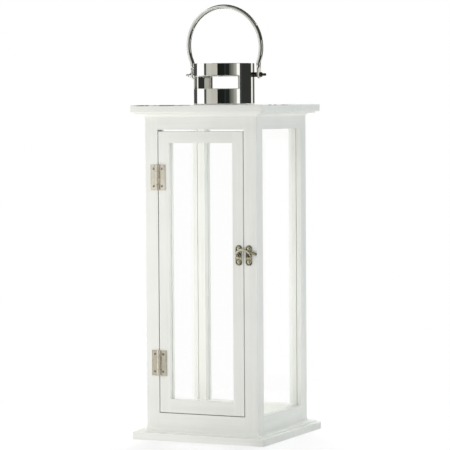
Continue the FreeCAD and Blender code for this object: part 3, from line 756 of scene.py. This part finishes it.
# pivots: spacer, nut and threaded end on each side, bright on the left and in dark steel on the right as
# painted shade
pivotLook = {"chamfer": 0.0004, "nutStart": 0.0553, "screw": 0.002, "pitch": 0.0007, "cut": 0.0003,
             "crest": 0.15, "root": 0.55, "head": 0.004, "headHigh": 0.0024, "headTop": 0.6, "headSide": 0.4,
             "sunk": 0.0012, "steps": 24, "sharp": 25}
tubeLow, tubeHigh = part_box("chimney_tube")
pivotSides = {"Left": (-1, -tubeLow.x, "chrome"), "Right": (1, tubeHigh.x, "screwSteel")}
pivotNodes = ("bail_spacers", "bail_nuts", "bail_pivot_screws")
spacerEnd, nutEnd, screwEnd = (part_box(node)[1].x for node in pivotNodes)
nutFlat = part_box("bail_nuts")[1].y


def hexBlock(look, side, start, end):
    mesh = bmesh.new()
    corner = 2 * nutFlat / math.sqrt(3)
    verts = bmesh.ops.create_cone(mesh, cap_ends=True, segments=6, radius1=corner, radius2=corner,
                                  depth=end - start)["verts"]
    bmesh.ops.rotate(mesh, verts=verts, cent=(0, 0, 0), matrix=Matrix.Rotation(math.pi / 2, 3, "Y"))
    bmesh.ops.translate(mesh, verts=verts, vec=(side * (start + end) / 2, 0, pivotLevel))
    ends = [edge for edge in mesh.edges if abs(edge.verts[0].co.x - edge.verts[1].co.x) < tiny]
    bevelEdges(mesh, ends, look["chamfer"])
    return mesh


def pivotScrew(look, side, wall):
    mesh = bmesh.new()
    head, tall, thin, pitch = look["head"], look["headHigh"], look["screw"], look["pitch"]
    outline = [(0, -tall), (head * look["headTop"], -tall), (head, -tall * look["headSide"]), (head, 0),
               (thin, 0)]
    seat, root = wall - look["sunk"], thin - look["cut"]
    reach, end = nutEnd - seat, screwEnd - seat
    while reach + pitch < end:
        crest, foot = reach + pitch * look["crest"], reach + pitch * look["root"]
        outline += [(thin, reach), (thin, crest), (root, foot)]
        reach += pitch
    outline += [(root, end), (0, end)]
    lathe(mesh, outline, (side * seat, 0, pivotLevel), (side, 0, 0), look["steps"])
    return mesh


def makePivots(look):
    for name, (side, wall, metal) in pivotSides.items():
        pieces = {"bailSpacer": hexBlock(look, side, wall, spacerEnd),
                  "bailNut": hexBlock(look, side, look["nutStart"], nutEnd),
                  "bailPivotScrew": pivotScrew(look, side, wall)}
        for node, (piece, mesh) in zip(pivotNodes, pieces.items()):
            made = addPiece(mesh, piece + name, [metal], "frame", node, look["sharp"])
            hideFrom(made, "glossy")


makePivots(pivotLook)
print("bail built")

# hinges: leaves with rounded edges, knuckles in turn, pins and slotted screws
# the lower hinge takes a darker copy of the nickel
hingeLook = {"leaf": 0.0012, "count": 4, "gap": 0.0003, "edge": 0.0003, "overlap": 0.0006,
             "knuckleSteps": 32, "pinCrown": 0.0004, "pinShare": 0.7, "pinSteps": 24, "holeReach": 0.0067,
             "holeSpread": 0.0256, "head": 0.0017, "headDeep": 0.0012, "headProud": 0.00015, "headEase": 0.16,
             "headSides": 28, "facing": 0.3, "slot": 0.0007, "slotDeep": 0.0005, "firstTurn": 0.4,
             "turnStep": 1.1, "faces": {"upper": "nickel", "lower": "darkerNickel"}}
hingeHalf = halfOf("hinge_leaf_frame_upper").z


def drumOutline(radius, length, edge):  # a cylinder's outline with eased ends
    ease = edge * cornerShare
    return [(0, 0), (radius - edge, 0), (radius - ease, ease), (radius, edge), (radius, length - edge),
            (radius - ease, length - ease), (radius - edge, length), (0, length)]


def makeLeaf(look, side, level, body):
    node = f"hinge_leaf_{body}_{level}"
    low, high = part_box(node)
    pin = middleOf(f"hinge_pin_{level}")
    face, knuckle = high.y, pin.y - low.y
    front, clear = face - look["leaf"], knuckle + look["gap"]
    outer = low.x if side < 0 else high.x
    bottom = pin.z - hingeHalf
    pitch = 2 * hingeHalf / look["count"]
    mesh = bmesh.new()
    span = sorted((pin.x + side * clear, outer))
    block(mesh, (span[0], front, bottom), (span[1], face, pin.z + hingeHalf), look["edge"])
    web = sorted((pin.x, pin.x + side * (clear + look["overlap"])))
    for index in range(0 if side < 0 else 1, look["count"], 2):
        start = bottom + index * pitch + look["gap"] / 2
        end = bottom + (index + 1) * pitch - look["gap"] / 2
        block(mesh, (web[0], front, start), (web[1], face, end), look["edge"])
        before = set(mesh.faces)
        lathe(mesh, drumOutline(knuckle, end - start, look["edge"]), (pin.x, pin.y, start), upwards,
              look["knuckleSteps"])
        finishNew(mesh, before)
    addPiece(mesh, f"hingeLeaf{body.title()}{level.title()}", [look["faces"][level], "dimNickel"], body,
             node)


def makePin(look, level):
    node = f"hinge_pin_{level}"
    low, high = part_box(node)
    mesh = bmesh.new()
    radius, length = halfOf(node).x, high.z - low.z
    crown, share = look["pinCrown"], look["pinShare"]
    outline = [(0, -crown), (radius * share, -crown * share), (radius, 0), (radius, length),
               (radius * share, length + crown * share), (0, length + crown)]
    lathe(mesh, outline, (*middleOf(node).xy, low.z), upwards, look["pinSteps"])
    addPiece(mesh, f"hingePin{level.title()}", ["nickel"], "frame", node)


def slottedHead(mesh, look, centre, turn):  # its face looks to -Y
    radius, half = look["head"], look["slot"] / 2
    verts = bmesh.ops.create_cone(mesh, cap_ends=True, segments=look["headSides"], radius1=radius,
                                  radius2=radius, depth=look["headDeep"])["verts"]
    front = [edge for edge in edgesOf(verts) if min(vert.co.z for vert in edge.verts) > 0]
    eased = bevelEdges(mesh, front, radius * look["headEase"])
    verts = {vert for vert in verts if vert.is_valid}
    verts |= {vert for face in eased["faces"] for vert in face.verts}
    for shift in (-half, half):
        cut = bmesh.ops.bisect_plane(mesh, geom=list(verts) + edgesOf(verts) + facesOf(verts),
                                     plane_co=(shift, 0, 0), plane_no=(1, 0, 0))
        verts |= set(vertsIn(cut["geom_cut"]))
    strip = [face for face in facesOf(verts)
             if face.normal.z > look["facing"] and abs(face.calc_center_median().x) < half]
    sunk = vertsIn(bmesh.ops.extrude_face_region(mesh, geom=strip)["geom"])
    bmesh.ops.translate(mesh, verts=sunk, vec=(0, 0, -look["slotDeep"]))
    bmesh.ops.delete(mesh, geom=strip, context="FACES_ONLY")
    verts = list({vert for vert in verts if vert.is_valid} | set(sunk))
    place = Matrix.Translation(centre) @ Matrix.Rotation(math.pi / 2, 4, "X") @ Matrix.Rotation(turn, 4, "Z")
    bmesh.ops.transform(mesh, matrix=place, verts=verts)


def makeHingeScrews(look, side, body):
    mesh = bmesh.new()
    turn = look["firstTurn"]
    for level in look["faces"]:
        pin, face = middleOf(f"hinge_pin_{level}"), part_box(f"hinge_leaf_{body}_{level}")[1].y
        depth = face - look["leaf"] - look["headProud"] + look["headDeep"] / 2
        for rise in (-look["holeSpread"] / 2, look["holeSpread"] / 2):
            slottedHead(mesh, look, (pin.x + side * look["holeReach"], depth, pin.z + rise), turn)
            turn += look["turnStep"]
    addPiece(mesh, f"{body}HingeScrews", ["screwSteel"], body, f"{body}_hinge_screws")


for hingeSide, hingeBody in ((-1, "frame"), (1, "door")):
    for hingeLevel in hingeLook["faces"]:
        makeLeaf(hingeLook, hingeSide, hingeLevel, hingeBody)
    makeHingeScrews(hingeLook, hingeSide, hingeBody)
for hingeLevel in hingeLook["faces"]:
    makePin(hingeLook, hingeLevel)
print("hinges built")

# latch: two plates with ringed lobes, nails, a rivet, and an arched hook with an eye and a finger grip
plateLook = {"plate": 0.0012, "rise": 0.0098, "waist": 0.0047, "edge": 0.0003, "dish": 0.0024,
             "dishFloor": 0.9, "dishSlope": 0.0005, "dishRim": 0.0003, "crest": 0.0037, "crestHalf": 0.0003,
             "crestHigh": 0.0007, "crestDip": 0.00003, "ringFrom": 0.4, "lobeEase": 0.0003,
             "lobeSide": (0.75, 0.5), "seatEase": (0.0006, 0.0002), "seatSide": (0.8, 0.4), "rim": 0.0011,
             "rimHigh": 0.0004, "collar": 0.0026, "pivot": 0.0016, "pivotPlay": 0.0002, "stud": 0.0018,
             "studShare": 0.83, "steps": 40, "postSteps": 24}
latchLevel = middleOf("hook_plate").z
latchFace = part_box("hook_plate")[1].y
hookX, studX = middleOf("hook_plate").x, middleOf("catch_plate").x
lobeRadius = halfOf("hook_plate").x
hookLow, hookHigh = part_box("latch_hook")
hookHalf, hookMiddle = halfOf("latch_hook").y, middleOf("latch_hook").y
plateFace = latchFace - plateLook["plate"]


def plateLobe(mesh, look, x, level):  # a raised ring, dark with patina and painted edge shade, round a lighter dish
    flat, dish, crest, half = look["plate"], look["dish"], look["crest"], look["crestHalf"]
    top = flat + look["crestHigh"]
    floor, ridge = flat * look["dishFloor"], top - look["crestDip"]
    upper, lower = look["lobeSide"]
    outline = [(0, floor), (dish, floor), (dish + look["dishSlope"], top - look["dishRim"]),
               (crest - half, ridge), (crest + half, ridge), (lobeRadius - look["lobeEase"], flat * upper),
               (lobeRadius, flat * lower), (lobeRadius, 0), (0, 0)]
    for face in lathe(mesh, outline, (x, latchFace, level), forwards, look["steps"]):
        middle = face.calc_center_median()
        away = math.hypot(middle.x - x, middle.z - level)
        if away > dish and middle.y < latchFace - flat * look["ringFrom"]:
            face.material_index = 1


def makePlate(look, x, name, body, node, post, face):
    mesh = bmesh.new()
    bottom, top = latchLevel - look["rise"], latchLevel + look["rise"]
    for level in (bottom, top):
        plateLobe(mesh, look, x, level)
    flat, wide, waist = look["plate"], lobeRadius, look["waist"]
    inner, outer = look["seatEase"]
    upper, lower = look["seatSide"]
    seat = [(0, flat), (wide - inner, flat), (wide - outer, flat * upper), (wide, flat * lower), (wide, 0),
            (0, 0)]
    lathe(mesh, seat, (x, latchFace, latchLevel), forwards, look["steps"])
    block(mesh, (x - waist, plateFace, bottom), (x + waist, latchFace, top), look["edge"])
    # the side rims and the post take the dark metal: painted shade beside the plate and under the hook
    before = set(mesh.faces)
    for side in (-1, 1):
        span = sorted((x + side * waist, x + side * (waist - look["rim"])))
        block(mesh, (span[0], plateFace - look["rimHigh"], bottom), (span[1], latchFace - flat / 2, top),
              look["edge"])
    lathe(mesh, post, (x, plateFace, latchLevel), forwards, look["postSteps"])
    finishNew(mesh, before)
    addPiece(mesh, name, [face, "patinaShadeNickel"], body, node)


def pivotPost(look):
    step, end = plateFace - hookHigh.y - look["pivotPlay"], plateFace - hookLow.y
    return [(0, 0), (look["collar"], 0), (look["collar"], step), (look["pivot"], step), (look["pivot"], end),
            (0, end)]


def studPost(look):
    wide, tip = look["stud"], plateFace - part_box("catch_plate")[0].y
    return [(0, 0), (wide, 0), (wide, tip - wide / 2), (wide * look["studShare"], tip - wide / 6),
            (wide / 2, tip), (0, tip)]


makePlate(plateLook, hookX, "hookPlate", "door", "hook_plate", pivotPost(plateLook), "brightNickel")
makePlate(plateLook, studX, "catchPlate", "frame", "catch_plate", studPost(plateLook), "oliveNickel")

hookLook = {"arch": 0.013, "half": 0.0016, "start": -59, "end": 66, "drop": 0.00474, "sides": 20, "steps": 40,
            "eyeOut": 0.0038, "eyeIn": 0.00166, "eyeSteps": 36, "soft": 0.0006, "fingerAt": 38,
            "finger": 0.0126, "fingerDrop": 15, "fingerHalf": 0.0021, "fingerRoot": 0.7, "fingerSides": 24}


def eyeOutline(look):
    out, inside, soft, half = look["eyeOut"], look["eyeIn"], look["soft"], hookHalf
    return [(inside, soft - half), (inside + soft, -half), (out - soft, -half), (out, soft - half),
            (out, half - soft), (out - soft, half), (inside + soft, half), (inside, half - soft)]


def fingerGrip(mesh, look):  # along +Z from its root, then turned to point outwards and a little down
    wide, long, sides = look["fingerHalf"], look["finger"], look["fingerSides"]
    grip = bmesh.ops.create_cone(mesh, cap_ends=True, segments=sides, radius1=wide * look["fingerRoot"],
                                 radius2=wide, depth=long)["verts"]
    bmesh.ops.translate(mesh, verts=grip, vec=upBy(long / 2))
    grip += ball(mesh, upBy(long), (wide, wide, wide), sides)
    bmesh.ops.scale(mesh, verts=grip, vec=(1, hookHalf / wide, 1))
    lean = Matrix.Rotation(math.radians(90 + look["fingerDrop"]), 3, "Y")
    bmesh.ops.rotate(mesh, verts=grip, cent=(0, 0, 0), matrix=lean)
    return grip


def makeHook(look):
    mesh = bmesh.new()
    centre = Vector(((hookX + studX) / 2, hookMiddle, latchLevel - look["drop"]))

    def onArch(degrees):
        angle = math.radians(degrees)
        return centre + Vector((math.sin(angle), 0, math.cos(angle))) * look["arch"]

    ring = ringAt(mesh, (0, 0, 0), (1, 0, 0), 1.0, look["sides"])
    bmesh.ops.scale(mesh, verts=ring, vec=(1, hookHalf, look["half"]))
    lean = Matrix.Rotation(math.radians(look["start"]), 3, "Y")
    bmesh.ops.rotate(mesh, verts=ring, cent=(0, 0, 0), matrix=lean)
    bmesh.ops.translate(mesh, verts=ring, vec=onArch(look["start"]))
    last = sweepRing(mesh, ring, centre, (0, 1, 0), math.radians(look["end"] - look["start"]), look["steps"])
    closeRings(mesh, ring, last)
    for degrees in (look["start"], look["end"]):
        ball(mesh, onArch(degrees), (look["half"], hookHalf, look["half"]), look["sides"])
    lathe(mesh, eyeOutline(look), (hookX, hookMiddle, latchLevel), (0, 1, 0), look["eyeSteps"], True)
    # the finger grip takes the dark metal as a painted dark reflection
    before = set(mesh.faces)
    bmesh.ops.translate(mesh, verts=fingerGrip(mesh, look), vec=onArch(look["fingerAt"]))
    finishNew(mesh, before)
    addPiece(mesh, "latchHook", ["brightNickel", "patinaShadeNickel"], "hook", "latch_hook")


makeHook(hookLook)

# nails and rivet: a dome's points are shares of its radius and of its height
nailLook = {"tall": 0.0008, "shank": 0.0008, "deep": 0.002, "dome": ((0.95, 0.4), (0.6, 0.85)), "steps": 24}
rivetLook = {"dome": ((1.0, 0.35), (0.8, 0.75), (0.45, 0.95)), "steps": 28}


def domeOutline(shares, radius, tall):
    return [(radius, 0)] + [(radius * out, tall * up) for out, up in shares] + [(0, tall)]


def makeNails(look, x, name, body, node):
    mesh = bmesh.new()
    shank, deep = look["shank"], look["deep"]
    outline = [(0, -deep), (shank, -deep), (shank, 0)]
    outline += domeOutline(look["dome"], halfOf(node).x, look["tall"])
    for rise in (-plateLook["rise"], plateLook["rise"]):
        lathe(mesh, outline, (x, plateFace, latchLevel + rise), forwards, look["steps"])
    addPiece(mesh, name, ["brightNickel"], body, node)


def makeRivet(look):
    mesh = bmesh.new()
    low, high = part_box("hook_rivet")
    outline = [(0, 0)] + domeOutline(look["dome"], halfOf("hook_rivet").x, high.y - low.y)
    lathe(mesh, outline, (hookX, high.y, latchLevel), forwards, look["steps"])
    # the rivet is dark as painted shade under the hook
    addPiece(mesh, "hookRivet", ["patinaShadeNickel"], "door", "hook_rivet")


makeNails(nailLook, hookX, "hookPlateNails", "door", "hook_plate_nails")
makeNails(nailLook, studX, "catchPlateNails", "frame", "catch_plate_nails")
makeRivet(rivetLook)
print("latch built")
